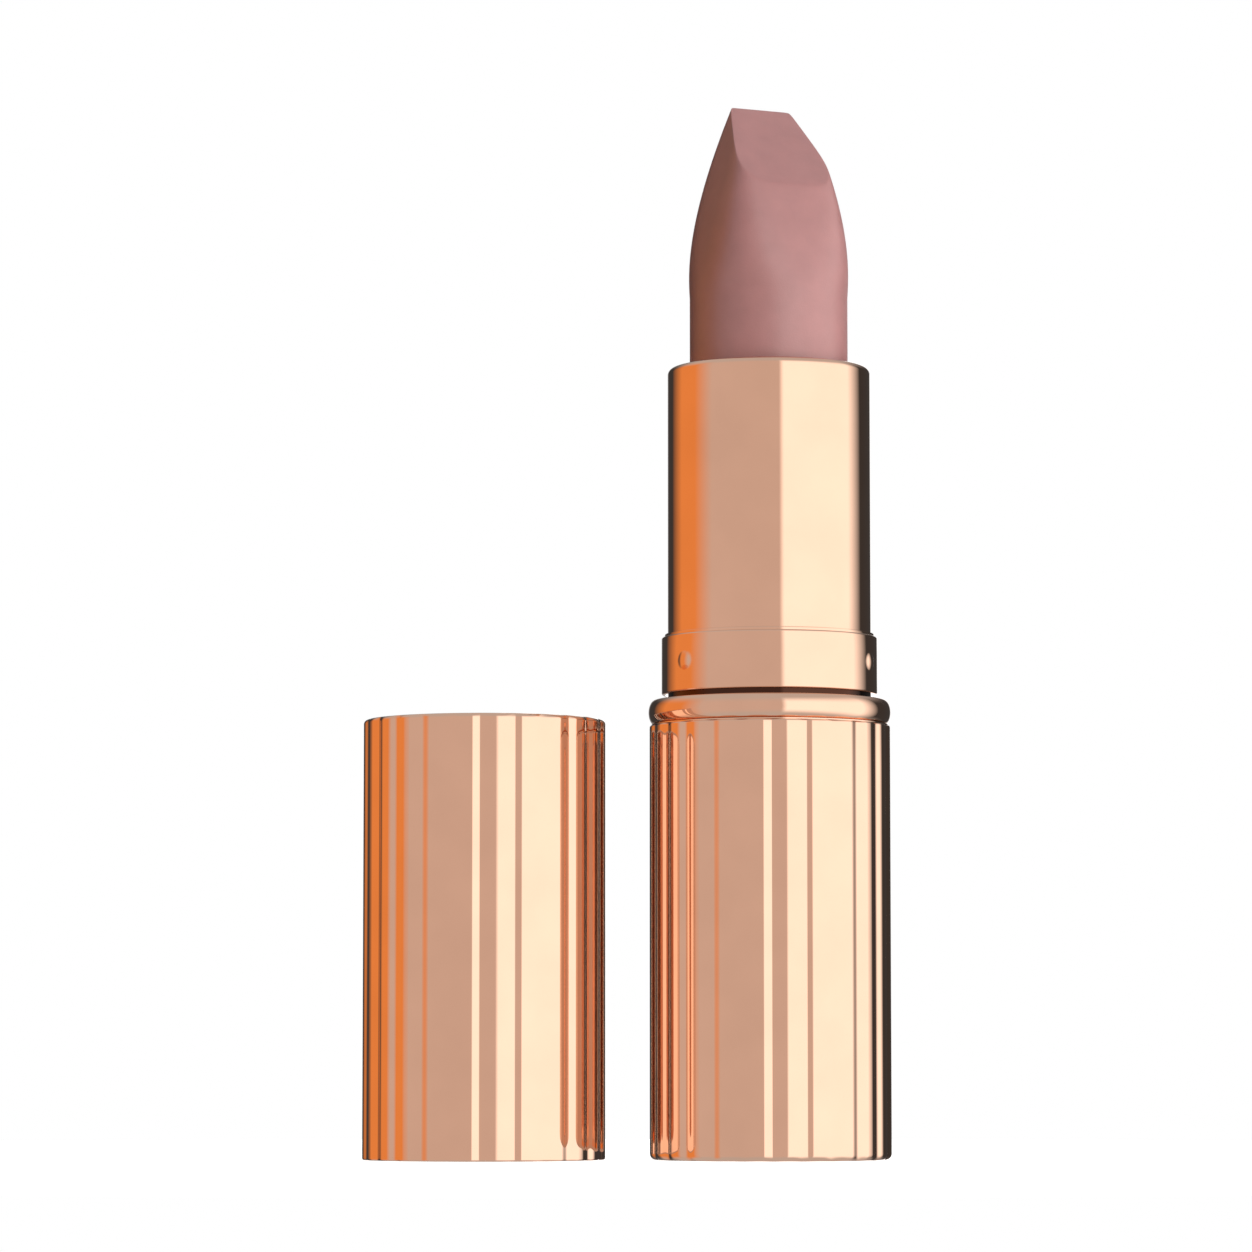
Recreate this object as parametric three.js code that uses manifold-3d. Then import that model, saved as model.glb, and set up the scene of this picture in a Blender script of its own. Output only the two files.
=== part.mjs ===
// A swivel lipstick case: a fluted base, a polished tube that turns on it, a bullet that winds up and down
// inside the tube on two lugs, and a fluted push-on cap that stands beside the open case.
// Millimetres, +Z up, front towards -Y. The origin is the middle of the case's foot, on the swivel axis.
import * as THREE from "three";
import { mergeVertices } from "three/addons/utils/BufferGeometryUtils.js";
import Module from "manifold-3d";

const wasm = await Module();
wasm.setup();

// ---- Driving dimensions ----

// Radii grow outwards from the bullet: each piece adds its wall, and each moving fit adds its gap.
const BULLET_R = 6.35;
const CUP_GAP = 0.03; // bullet in the carrier cup
const CUP_WALL = 0.32;
const SLIDE_GAP = 0.1; // carrier cup in the guide tube
const GUIDE_WALL = 0.4;
const TURN_GAP = 0.1; // guide tube in the cam sleeve, and the turning tube in the base
const CAM_WALL = 0.42;
const TUBE_WALL = 0.41;
const TUBE_FLANGE = 0.27; // rolled edge that keeps the tube under the bead ring
const COLLAR_WALL = 0.5;
const BASE_LINER_WALL = 0.6;
const BASE_WALL = 0.55;
const CAP_SNAP_GAP = 0.1;
const CAP_LINER_WALL = 0.42;
const CAP_WALL = 0.55;

// Heights, from the foot upwards.
const BASE_H = 34.5;
const FOOT_T = 1.2;
const LABEL_T = 0.12;
const WEIGHT_H = 8;
const LINER_FLOOR_T = 1.4;
const BEAD_STEP_H = 0.1;
const BEAD_H = 1.95;
const BEAD_DEPTH = 0.5; // from the bead's edges out to its middle
const BEAD_PROUD = 0.03; // bead outside the ribs' crests
const NECK_GAP = 0.45;
const COLLAR_H = 4.6;
const COLLAR_STEP_H = 0.25;
const TUBE_RISE = 26.3; // from the collar's lower edge to the tube's mouth
const CUP_DROP = 2; // the raised cup's rim below the tube's mouth
const CUP_H = 10.5;
const CUP_FLOOR_T = 2;
const STROKE = 22.8;
const BULLET_L = 31.9;
const FLANGE_T = 1.2; // the tube's rolled edge
const END_PLAY = 0.15; // between that edge and the bead ring
const GUIDE_FLANGE_T = 1.2;
const BRAKE_R = 0.55;
const BRAKE_GAP = 0.1; // brake ring under the cam sleeve
const CUP_CLEAR = 1.2; // lowest cup above the brake ring
const CAM_CLEAR = 1.5; // least length of the cam sleeve below the tube's rolled edge
const CAP_HEADROOM = 7.05; // inside the closed cap, above the tube's mouth
const CAP_SEAT_GAP = 0.1; // the closed cap's edge above the bead ring
const CAP_TOP_T = 0.9;
const CAP_LINER_TOP_T = 0.35;

// The winding gear: two lugs in two upright slots and two helical slots.
const CAM_TURNS = 1.5;
const LUG_R = 0.7;
const LUG_UP = 1.7; // lug centre above the cup's underside
const SLOT_GAP = 0.18; // round each lug

// Small features.
const RIBS = 24;
const FLUTE_DEPTH = 0.19;
const FLUTE_ANGLE = 0; // bottom of the first flute, in degrees from the front towards +X
const PLAIN_RIM_H = 0.45; // unfluted strip round the foot
const FOOT_ROUND = 0.5;
const EDGE_ROUND = 0.15;
const CAP_ROUND = 0.35;
const LIP_R = 0.5; // curled lip round the tube's mouth
const LIP_GAP = 0.25; // lip outside the cup's path
const NUBS = 3;
const NUB_R = 0.8;
const NUB_PROUD = 0.15;
const NUB_ANGLE = 67; // first nub, in degrees from the front towards +X
const NUB_UP = 2.42; // nub centre above the collar's lower edge
const SNAP_GROOVE_H = 1.4;
const STAND_GAP = 3.42; // between the open case and the cap beside it

// The bullet's nose tapers from a circle to a squarish tip, which a slanted plane cuts.
const NOSE_H = 15.7;
const TIP_HALF_THICK = 1.6;
const TIP_HALF_WIDE = 2.7;
const THICK_POWER = 1.3;
const WIDE_POWER = 1.4;
const TIP_SQUARENESS = 7;
const SQUARE_POWER = 1.2;
const SLANT_ANGLE = 51.5; // of the slanted face from the horizontal
const SLANT_START = 1.4; // from the axis back to the slant's upper edge
const BULLET_TURN = 26; // the slanted face's direction, from the front towards +X

const SEGMENTS = 48;
const FLUTE_POINTS = 6;
const NOSE_RINGS = 9;
const CAM_STEPS = 30;
const CAM_SIDES = 8;
const OVERCUT = 1; // how far a cutter runs past what it cuts

// ---- Sizes that follow ----

const cupInR = BULLET_R + CUP_GAP;
const cupR = cupInR + CUP_WALL;
const guideInR = cupR + SLIDE_GAP;
const guideR = guideInR + GUIDE_WALL;
const camInR = guideR + TURN_GAP;
const camR = camInR + CAM_WALL;
const tubeR = camR + TUBE_WALL;
const flangeR = tubeR + TUBE_FLANGE;
const lipInR = cupR + LIP_GAP;
const beadInR = tubeR + TURN_GAP + 0.02;
const linerInR = flangeR + TURN_GAP;
const linerR = linerInR + BASE_LINER_WALL;
const baseR = linerR + BASE_WALL;
const collarR = tubeR + COLLAR_WALL;
const snapR = collarR + CAP_SNAP_GAP;
const capInR = snapR + CAP_LINER_WALL;
const capR = capInR + CAP_WALL;
const capX = -(baseR + STAND_GAP + capR);

const beadTop = BASE_H + BEAD_STEP_H + BEAD_H;
const collarBottom = beadTop + NECK_GAP;
const collarTop = collarBottom + COLLAR_H;
const tubeTop = collarBottom + TUBE_RISE;
const cupTop = tubeTop - CUP_DROP;
const cupBottom = cupTop - CUP_H;
const lugZ = cupBottom + LUG_UP;
const bulletBottom = cupBottom + CUP_FLOOR_T;
const bulletTop = bulletBottom + BULLET_L;
const capSeat = beadTop + CAP_SEAT_GAP; // height of the cap's edge when it is closed
const capH = tubeTop - capSeat + CAP_HEADROOM + CAP_LINER_TOP_T + CAP_TOP_T;
const weightTop = FOOT_T + WEIGHT_H;
const flangeTop = BASE_H - END_PLAY;
const flangeBottom = flangeTop - FLANGE_T;
const gearStart = Math.min(cupBottom - STROKE - CUP_CLEAR, flangeBottom - CAM_CLEAR);
const guideBottom = gearStart - GUIDE_FLANGE_T - 2 * BRAKE_R;
const camBottom = gearStart + BRAKE_GAP;
const slotR = LUG_R + SLOT_GAP;
const lugTipR = camR - 0.1;
const noseStart = bulletTop - NOSE_H;

// ---- Helpers ----

const radians = THREE.MathUtils.degToRad;

// A point on a circle about the Z axis, at an angle from the front towards +X.
const around = (r, degrees) => [r * Math.sin(radians(degrees)), -r * Math.cos(radians(degrees))];

// Points of an arc in the profile plane, both ends included.
function arc(r, z, radius, from, to, steps = 3) {
  return Array.from({ length: steps + 1 }, (_, i) => {
    const angle = radians(from + ((to - from) * i) / steps);
    return [r + radius * Math.cos(angle), z + radius * Math.sin(angle)];
  });
}

// A profile of [radius, height] points, turned about the Z axis. It starts and ends on the axis.
function turned(profile, segments = SEGMENTS) {
  const points = profile.map(([r, z]) => new THREE.Vector2(r, z));
  return new THREE.LatheGeometry(points, segments).rotateX(Math.PI / 2);
}

// The same for a profile that stays off the axis: it closes on its first point.
const turnedRing = (profile, segments) => turned([...profile, profile[0]], segments);

// A plain cylinder on the Z axis, from one height to another.
const rod = (r, from, to, segments) => turned([[0, from], [r, from], [r, to], [0, to]], segments);

// A closed geometry as a solid for cutting and joining.
function solid(geometry) {
  const bare = geometry.clone();
  bare.deleteAttribute("normal");
  bare.deleteAttribute("uv");
  const merged = mergeVertices(bare, 1e-4);
  return new wasm.Manifold(
    new wasm.Mesh({
      numProp: 3,
      vertProperties: new Float32Array(merged.attributes.position.array),
      triVerts: new Uint32Array(merged.index.array),
    }),
  );
}

// A solid back as a geometry.
function geometryOf(body) {
  const { numProp, vertProperties, triVerts } = body.getMesh();
  const positions = new Float32Array((vertProperties.length / numProp) * 3);
  for (let i = 0; i < positions.length / 3; i++)
    positions.set(vertProperties.subarray(i * numProp, i * numProp + 3), i * 3);
  const geometry = new THREE.BufferGeometry();
  geometry.setAttribute("position", new THREE.BufferAttribute(positions, 3));
  geometry.setIndex(new THREE.BufferAttribute(triVerts, 1));
  geometry.computeVertexNormals();
  return geometry;
}

function piece(name, shape, colour, roughness, metalness) {
  const geometry = shape.isBufferGeometry ? shape : geometryOf(shape);
  const material = new THREE.MeshStandardMaterial({ color: colour, roughness, metalness, flatShading: true });
  const mesh = new THREE.Mesh(geometry, material);
  mesh.name = name;
  return mesh;
}

const roseGold = (name, shape) => piece(name, shape, 0xd3a184, 0.18, 1);
const plastic = (name, shape, colour) => piece(name, shape, colour, 0.45, 0);

// ---- Fluted shells ----

// A prism with a fluted outline: ribs and flutes that run into each other as a wave.
function flutedPrism(crestR, from, to) {
  const outline = [];
  for (let rib = 0; rib < RIBS; rib++)
    for (let i = 0; i < FLUTE_POINTS; i++) {
      const share = i / FLUTE_POINTS;
      const r = crestR - (FLUTE_DEPTH * (1 + Math.cos(2 * Math.PI * share))) / 2;
      outline.push(new THREE.Vector2(...around(r, FLUTE_ANGLE + (360 * (rib + share)) / RIBS)));
    }
  const settings = { depth: to - from, bevelEnabled: false };
  const prism = new THREE.ExtrudeGeometry(new THREE.Shape(outline), settings);
  return solid(prism.translate(0, 0, from));
}

// The base's outer shell: open at both ends, rounded round the foot, plain below the flutes.
function baseShell() {
  const envelope = turned([
    [0, 0],
    ...arc(baseR - FOOT_ROUND, FOOT_ROUND, FOOT_ROUND, -90, 0),
    ...arc(baseR - EDGE_ROUND, BASE_H - EDGE_ROUND, EDGE_ROUND, 0, 90, 2),
    [0, BASE_H],
  ]);
  const plainRim = solid(rod(baseR, 0, PLAIN_RIM_H));
  const fluted = flutedPrism(baseR, PLAIN_RIM_H, BASE_H).add(plainRim);
  return fluted.intersect(solid(envelope)).subtract(solid(rod(linerR, -OVERCUT, BASE_H + OVERCUT)));
}

// The cap's outer shell: closed on top, open below.
function capShell() {
  const envelope = turned([
    [0, 0],
    ...arc(capR - EDGE_ROUND, EDGE_ROUND, EDGE_ROUND, -90, 0, 2),
    ...arc(capR - CAP_ROUND, capH - CAP_ROUND, CAP_ROUND, 0, 90),
    [0, capH],
  ]);
  const fluted = flutedPrism(capR, 0, capH).intersect(solid(envelope));
  return fluted.subtract(solid(rod(capInR, -OVERCUT, capH - CAP_TOP_T)));
}

// ---- Base pieces ----

const labelR = linerInR - 0.3;

const footPlate = () =>
  turned([
    [0, LABEL_T],
    [labelR + 0.1, LABEL_T],
    [labelR + 0.1, 0],
    [linerR, 0],
    [linerR, FOOT_T],
    [0, FOOT_T],
  ]);

const baseWeight = () => rod(linerR - 0.1, FOOT_T, weightTop);

// A plastic sleeve inside the base, with a floor part of the way up that carries the guide tube.
const baseLiner = () =>
  turned([
    [0, guideBottom - LINER_FLOOR_T],
    [linerInR - 0.3, guideBottom - LINER_FLOOR_T],
    [linerInR - 0.3, weightTop],
    [linerR, weightTop],
    [linerR, BASE_H],
    [linerInR, BASE_H],
    [linerInR, guideBottom],
    [0, guideBottom],
  ]);

// A half-round bead over a narrow step. Its bore keeps the tube's rolled edge below it.
function beadRing() {
  const stepTop = BASE_H + BEAD_STEP_H;
  const bead = arc(0, 0, 1, -90, 90, 6).map(([x, y]) => [
    baseR + BEAD_PROUD - BEAD_DEPTH + BEAD_DEPTH * x,
    stepTop + (BEAD_H / 2) * (1 + y),
  ]);
  return turnedRing([
    [beadInR, BASE_H],
    [baseR - FLUTE_DEPTH, BASE_H],
    [baseR - FLUTE_DEPTH, stepTop],
    ...bead,
    [beadInR, beadTop],
  ]);
}

const slotTop = lugZ + slotR;
const slotBottom = lugZ - STROKE - slotR;

// The tube that the carrier cup slides in, with two upright slots for its lugs.
function guideTube() {
  const wall = turnedRing([
    [guideInR, guideBottom],
    [linerInR - 0.1, guideBottom],
    [linerInR - 0.1, guideBottom + GUIDE_FLANGE_T],
    [guideR, guideBottom + GUIDE_FLANGE_T],
    [guideR, tubeTop - 1.5],
    [guideInR, tubeTop - 1.5],
  ]);
  const slot = new THREE.BoxGeometry(2 * (guideR + OVERCUT), 2 * slotR, slotTop - slotBottom);
  return solid(wall).subtract(solid(slot.translate(0, 0, (slotTop + slotBottom) / 2)));
}

// A soft ring under the cam sleeve that makes the tube turn smoothly and stay where it is left.
function brakeRing() {
  const section = arc(guideR + 0.05 + BRAKE_R, guideBottom + GUIDE_FLANGE_T + BRAKE_R, BRAKE_R, 0, 360, 8);
  return turned(section);
}

// ---- Turning pieces ----

// The polished tube, with a curled lip at the mouth and a rolled edge at the bottom.
function tubeShell() {
  const lipZ = tubeTop - LIP_R;
  return turnedRing([
    [camR, flangeBottom],
    [flangeR, flangeBottom],
    [flangeR, flangeTop],
    [tubeR, flangeTop],
    ...arc(tubeR - LIP_R, lipZ, LIP_R, 0, 90),
    ...arc(lipInR + LIP_R, lipZ, LIP_R, 90, 180, 2),
    [lipInR, tubeTop - 2 * LIP_R],
    [camR, tubeTop - 3 * LIP_R],
  ]);
}

// The band that the cap snaps on to: a stepped ring with round nubs.
function snapCollar() {
  const band = turnedRing([
    [tubeR, collarBottom],
    ...arc(collarR - EDGE_ROUND, collarBottom + EDGE_ROUND, EDGE_ROUND, -90, 0, 2),
    ...arc(collarR - EDGE_ROUND, collarTop - EDGE_ROUND, EDGE_ROUND, 0, 90, 2),
    [tubeR + COLLAR_WALL / 2, collarTop],
    [tubeR + COLLAR_WALL / 2, collarTop + COLLAR_STEP_H],
    [tubeR, collarTop + COLLAR_STEP_H],
  ]);
  const rootDepth = COLLAR_WALL / 2;
  const domeR = (NUB_R ** 2 + NUB_PROUD ** 2) / (2 * NUB_PROUD);
  const domeAngle = THREE.MathUtils.radToDeg(Math.asin(NUB_R / domeR));
  const dome = arc(0, NUB_PROUD - domeR, domeR, 90 - domeAngle, 90, 2);
  let collar = solid(band);
  for (let i = 0; i < NUBS; i++) {
    const nub = turned([[0, -rootDepth], [NUB_R, -rootDepth], ...dome.slice(0, -1), [0, NUB_PROUD]], 12);
    nub.rotateX(Math.PI / 2);
    nub.translate(0, -collarR, collarBottom + NUB_UP);
    nub.rotateZ(radians(NUB_ANGLE + (360 * i) / NUBS));
    collar = collar.add(solid(nub));
  }
  return collar;
}

// The path of one lug in the cam sleeve: a right-hand helix that runs a little past both ends.
class CamPath extends THREE.Curve {
  constructor(startAngle) {
    super();
    this.startAngle = startAngle;
  }
  getPoint(t, target = new THREE.Vector3()) {
    const runOut = radians(7);
    const turn = -2 * Math.PI * CAM_TURNS - runOut + t * (2 * Math.PI * CAM_TURNS + 2 * runOut);
    const radius = (camInR + camR) / 2;
    const angle = this.startAngle + turn;
    const rise = (STROKE * turn) / (2 * Math.PI * CAM_TURNS);
    return target.set(radius * Math.cos(angle), radius * Math.sin(angle), lugZ + rise);
  }
}

// The sleeve fixed inside the tube, with two helical slots that lift the lugs as it turns.
function camSleeve() {
  const wall = turnedRing([
    [camInR, camBottom],
    [camR, camBottom],
    [camR, tubeTop - 2.5],
    [camInR, tubeTop - 2.5],
  ]);
  const cutter = new THREE.Shape().absarc(0, 0, slotR / Math.cos(Math.PI / CAM_SIDES), 0, 2 * Math.PI);
  let sleeve = solid(wall);
  for (const startAngle of [0, Math.PI]) {
    const slot = new THREE.ExtrudeGeometry(new THREE.Shape(cutter.getSpacedPoints(CAM_SIDES).slice(0, -1)), {
      steps: CAM_STEPS,
      extrudePath: new CamPath(startAngle),
    });
    sleeve = sleeve.subtract(solid(slot));
  }
  return sleeve;
}

// ---- Sliding pieces ----

// The cup that holds the bullet, with a vent in its floor and a lug on each side.
function carrierCup() {
  const ventR = 1;
  const cup = turnedRing([
    [ventR, cupBottom],
    [cupR, cupBottom],
    [cupR, cupTop],
    [cupInR, cupTop],
    [cupInR, bulletBottom],
    [ventR, bulletBottom],
  ]);
  const length = lugTipR - cupR + CUP_WALL / 2;
  let joined = solid(cup);
  for (const side of [-1, 1]) {
    const lug = new THREE.CylinderGeometry(LUG_R, LUG_R, length, 12).rotateZ(Math.PI / 2);
    joined = joined.add(solid(lug.translate(side * (lugTipR - length / 2), 0, lugZ)));
  }
  return joined;
}

// The bullet: a turned blank whose nose rings are squared off and flattened by formula, then cut on a slant.
function lipstickBullet() {
  const share = (z) => Math.max(0, (z - noseStart) / NOSE_H);
  const halfWide = (z) => BULLET_R - (BULLET_R - TIP_HALF_WIDE) * share(z) ** WIDE_POWER;
  const halfThick = (z) => BULLET_R - (BULLET_R - TIP_HALF_THICK) * share(z) ** THICK_POWER;
  const squareness = (z) => 2 + (TIP_SQUARENESS - 2) * share(z) ** SQUARE_POWER;

  const rings = Array.from({ length: NOSE_RINGS + 1 }, (_, i) => noseStart + (NOSE_H * i) / NOSE_RINGS);
  const blank = turned([[0, bulletBottom], [1, bulletBottom], ...rings.map((z) => [1, z]), [0, bulletTop]]);
  const place = blank.attributes.position;
  for (let i = 0; i < place.count; i++) {
    const [x, y, z] = [place.getX(i), place.getY(i), place.getZ(i)];
    const power = squareness(z);
    const round = x === 0 && y === 0 ? 1 : (Math.abs(x) ** power + Math.abs(y) ** power) ** (-1 / power);
    place.setXYZ(i, x * round * halfWide(z), y * round * halfThick(z), z);
  }

  const waste = 4 * BULLET_R;
  const slant = new THREE.BoxGeometry(waste, waste, waste).translate(0, 0, waste / 2);
  slant.rotateX(radians(SLANT_ANGLE)).translate(0, SLANT_START, bulletTop);
  blank.rotateZ(radians(BULLET_TURN));
  slant.rotateZ(radians(BULLET_TURN));
  return solid(blank).subtract(solid(slant));
}

// ---- Cap ----

// The plastic liner inside the cap, with a lead-in and a shallow groove that the nubs click into.
function capLiner() {
  const edge = 0.25;
  const top = capH - CAP_TOP_T;
  const grooveDepth = 0.15;
  const grooveZ = collarBottom + NUB_UP - capSeat; // level with the nubs when the cap is closed
  return turned([
    [0, top - CAP_LINER_TOP_T],
    [snapR, top - CAP_LINER_TOP_T],
    [snapR, grooveZ + SNAP_GROOVE_H / 2 + grooveDepth],
    [snapR + grooveDepth, grooveZ + SNAP_GROOVE_H / 2],
    [snapR + grooveDepth, grooveZ - SNAP_GROOVE_H / 2],
    [snapR, grooveZ - SNAP_GROOVE_H / 2 - grooveDepth],
    [snapR, edge + 0.25],
    [snapR + 0.25, edge],
    [capInR, edge],
    [capInR, top],
    [0, top],
  ]);
}

// ---- Assembly ----

const lipstick = new THREE.Group();

const base = new THREE.Group();
base.add(
  roseGold("base_shell", baseShell()),
  roseGold("foot_plate", footPlate()),
  piece("shade_label", rod(labelR, 0, LABEL_T), 0xb0706c, 0.5, 0),
  piece("base_weight", baseWeight(), 0x8a8d90, 0.4, 1),
  plastic("base_liner", baseLiner(), 0xe9e2d6),
  roseGold("bead_ring", beadRing()),
  plastic("guide_tube", guideTube(), 0xf2efe8),
  piece("brake_ring", brakeRing(), 0x3b3b3b, 0.8, 0),
);

const swivelTube = new THREE.Group();
swivelTube.add(
  roseGold("tube_shell", tubeShell()),
  roseGold("snap_collar", snapCollar()),
  plastic("cam_sleeve", camSleeve(), 0xf2efe8),
);

const carrier = new THREE.Group();
carrier.add(
  plastic("carrier_cup", carrierCup(), 0xf2efe8),
  piece("lipstick_bullet", lipstickBullet(), 0xc07a76, 0.5, 0),
);

const cap = new THREE.Group();
cap.position.x = capX;
cap.add(roseGold("cap_shell", capShell()), plastic("cap_liner", capLiner(), 0xf2efe8));

lipstick.add(base, swivelTube, carrier, cap);

export default lipstick;
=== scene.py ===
"""A swivel lipstick case with its bullet wound up and its fluted cap standing beside it."""

import math

import bmesh
import bpy
from bpy.props import FloatProperty, FloatVectorProperty, IntProperty, PointerProperty
from mathutils import Matrix, Vector


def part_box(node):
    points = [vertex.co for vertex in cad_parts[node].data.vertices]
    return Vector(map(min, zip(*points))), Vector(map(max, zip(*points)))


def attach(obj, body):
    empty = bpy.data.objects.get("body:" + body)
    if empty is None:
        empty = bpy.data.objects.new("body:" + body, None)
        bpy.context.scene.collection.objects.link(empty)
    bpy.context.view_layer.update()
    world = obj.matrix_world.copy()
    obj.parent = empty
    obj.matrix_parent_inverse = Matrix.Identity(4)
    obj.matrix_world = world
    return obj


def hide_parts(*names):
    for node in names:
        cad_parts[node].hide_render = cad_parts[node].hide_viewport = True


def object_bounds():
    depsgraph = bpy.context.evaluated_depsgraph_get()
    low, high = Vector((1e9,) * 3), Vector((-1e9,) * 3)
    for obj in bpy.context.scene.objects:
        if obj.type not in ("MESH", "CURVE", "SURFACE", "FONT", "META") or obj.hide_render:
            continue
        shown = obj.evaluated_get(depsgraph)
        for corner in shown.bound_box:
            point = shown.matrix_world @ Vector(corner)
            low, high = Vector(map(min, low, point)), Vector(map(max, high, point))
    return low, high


bl_info = {
    "name": "Fluted lipstick case",
    "version": (1, 0, 0),
    "blender": (4, 5, 0),
    "location": "3D View > Sidebar > Lipstick",
    "description": "Builds a fluted swivel lipstick case around its packed frame",
    "category": "Object",
}

MM = 0.001
WELD = 1e-7  # metres: points closer than this are one point

# Small fixed sizes, which no setting changes.
BEAD_CLEAR = 0.12 * MM  # between the turning tube and the bead ring
FLANGE_ROUND = 0.1 * MM
COLLAR_WALL = 0.5 * MM
COLLAR_ROUND = 0.15 * MM
STEP_ROUND = 0.06 * MM
GUIDE_ROUND = 0.08 * MM
LINER_LEAD_IN = 0.25 * MM
LINER_ROUND = 0.6 * MM
BULLET_FOOT_ROUND = 0.3 * MM
BULLET_SPARE = 1.2 * MM  # of the blank above the tip, for the ridge and the slant to cut
NECK_SHADE_REACH = 0.05 * MM  # of the painted shade band up behind the collar's lower edge
# Painted shade: the dark base colour given to the tube's plating below the collar, where the neck lies in
# shade inside the bead ring.
PAINTED_NECK_SHADE = (0.07, 0.03, 0.02)

# The stage.
FLOOR_RADIUS = 0.12
FLOOR_GLOW = 0.9
EYE = (-11.49 * MM, -410.0 * MM, 7.2 * MM)
EYE_PITCH = math.radians(94.93)  # turned from straight down
LENS = 147.6

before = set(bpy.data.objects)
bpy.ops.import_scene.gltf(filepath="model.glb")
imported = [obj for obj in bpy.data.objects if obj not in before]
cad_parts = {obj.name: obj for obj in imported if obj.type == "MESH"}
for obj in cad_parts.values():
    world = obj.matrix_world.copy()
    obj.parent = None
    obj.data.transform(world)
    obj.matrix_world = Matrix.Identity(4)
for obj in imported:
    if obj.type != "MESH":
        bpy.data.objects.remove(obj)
frame_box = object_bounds()

cap_low, cap_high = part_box("cap_shell")
CAP_CENTRE = Vector(((cap_low.x + cap_high.x) / 2, 0.0, 0.0))


# ---- Sizes and colours that a user may change ----


def length(name, millimetres, description):
    """A length in metres, given here in millimetres."""
    return FloatProperty(
        name=name,
        description=description,
        default=millimetres * MM,
        min=0.0,
        unit="LENGTH",
        precision=6,
    )


def colour(name, value, description):
    """A linear colour."""
    return FloatVectorProperty(
        name=name, description=description, default=value, size=3, subtype="COLOR", min=0.0, max=1.0
    )


class ShellSizes(bpy.types.PropertyGroup):
    """The fluted shells, the foot and the bead ring."""

    base_radius: length("Base radius", 9.65, "From the axis to the crests of the base's ribs")
    base_bore: length("Base bore", 9.1, "Inside radius of the base's metal shell")
    cap_radius: length("Cap radius", 9.7, "From the axis to the crests of the cap's ribs")
    cap_bore: length("Cap bore", 9.15, "Inside radius of the cap's metal shell")
    cap_top: length("Cap top", 0.9, "Thickness of the cap's closed end")
    ribs: IntProperty(name="Ribs", description="Ribs round each shell", default=24, min=3)
    rib_points: IntProperty(name="Rib points", description="Facets across one rib", default=20, min=6)
    flute_depth: length("Flute depth", 0.19, "From crest to valley of the wave round each shell")
    foot_round: length("Foot rounding", 0.5, "Radius of the foot's outer edge")
    cap_round: length("Cap rounding", 0.35, "Radius of the cap's top edge")
    edge_round: length("Edge rounding", 0.15, "Radius of the small outer edges")
    burr: length("Broken edge", 0.04, "Width that every inner edge is broken by")
    bead_depth: length("Bead depth", 0.5, "From the bead's edges out to its middle")
    bead_step: length("Bead step", 0.1, "Height of the groove under the bead")
    flute_power: FloatProperty(name="Flute power", description="Narrows the valleys of the wave", default=1.8)
    label_edge: length("Label edge", 8.3, "Radius of the shallow seat of the label")
    label_radius: length("Label radius", 8.2, "Radius of the label")


class TubeSizes(bpy.types.PropertyGroup):
    """The turning tube, its collar and the guide tube inside it."""

    tube_radius: length("Tube radius", 8.13, "Outside radius of the polished tube")
    tube_bore: length("Tube bore", 7.72, "Inside radius of the polished tube")
    flange_height: length("Flange height", 1.2, "Height of the rolled edge at the tube's lower end")
    lip_bore: length("Lip bore", 6.95, "Inside radius of the curled lip at the mouth")
    lip_round: length("Lip rounding", 0.5, "Radius of the curl of the lip")
    collar_step: length("Collar step", 0.25, "Height and width of the step on the collar")
    nubs: IntProperty(name="Nubs", description="Round nubs on the collar", default=3, min=0)
    nub_radius: length("Nub radius", 0.8, "Radius of one nub")
    nub_proud: length("Nub height", 0.15, "How far a nub stands out of the collar")
    nub_up: length("Nub place", 2.42, "From the collar's lower edge to the middle of a nub")
    nub_angle: FloatProperty(
        name="First nub",
        description="Angle of the first nub from the front towards +X",
        default=math.radians(67),
        subtype="ANGLE",
    )
    guide_radius: length("Guide radius", 7.2, "Outside radius of the guide tube")
    guide_bore: length("Guide bore", 6.8, "Inside radius of the guide tube")
    guide_flange: length("Guide flange", 1.2, "Thickness of the guide tube's flange")
    slot_half: length("Slot", 0.88, "Half the width of the guide tube's slots")
    slot_end: length("Slot end", 8.42, "From the guide tube's mouth down to the slots")
    slot_length: length("Slot length", 24.56, "Length of the guide tube's slots")
    liner_bore: length("Liner bore", 8.73, "Inside radius of the cap's liner")
    liner_top: length("Liner top", 0.35, "Thickness of the liner's closed end")
    groove_up: length("Snap groove", 2.77, "From the cap's edge up to the middle of the snap groove")
    groove_half: length("Groove height", 0.7, "Half the height of the snap groove")
    groove_depth: length("Groove depth", 0.15, "Depth of the snap groove")


class BulletSizes(bpy.types.PropertyGroup):
    """The moulded bullet."""

    radius: length("Radius", 6.35, "Radius of the bullet below its nose")
    nose: length("Nose", 15.7, "Height of the tapered nose")
    tip_wide: length("Tip half width", 2.7, "Half the width of the tip")
    tip_thick: length("Tip half thickness", 1.6, "Half the thickness of the tip")
    slant_start: length("Slant start", 1.4, "From the axis back to the upper edge of the slant")
    edge: length("Edge softness", 0.09, "Softness of the slant's edge")
    crown: length("Crown softness", 0.1, "Softness of the ridge on top")
    slant: FloatProperty(
        name="Slant",
        description="Angle of the slanted face from the horizontal",
        default=math.radians(51.5),
        subtype="ANGLE",
    )
    turn: FloatProperty(
        name="Turn",
        description="Direction of the slanted face, from the front towards +X",
        default=math.radians(26),
        subtype="ANGLE",
    )
    thick_power: FloatProperty(
        name="Thickness taper", description="Power of the taper front to back", default=1.3
    )
    wide_power: FloatProperty(name="Width taper", description="Power of the taper side to side", default=1.4)
    squareness: FloatProperty(name="Squareness", description="How square the tip's section is", default=7.0)
    square_power: FloatProperty(
        name="Squaring", description="Power of the change to a square section", default=1.2
    )


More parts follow.
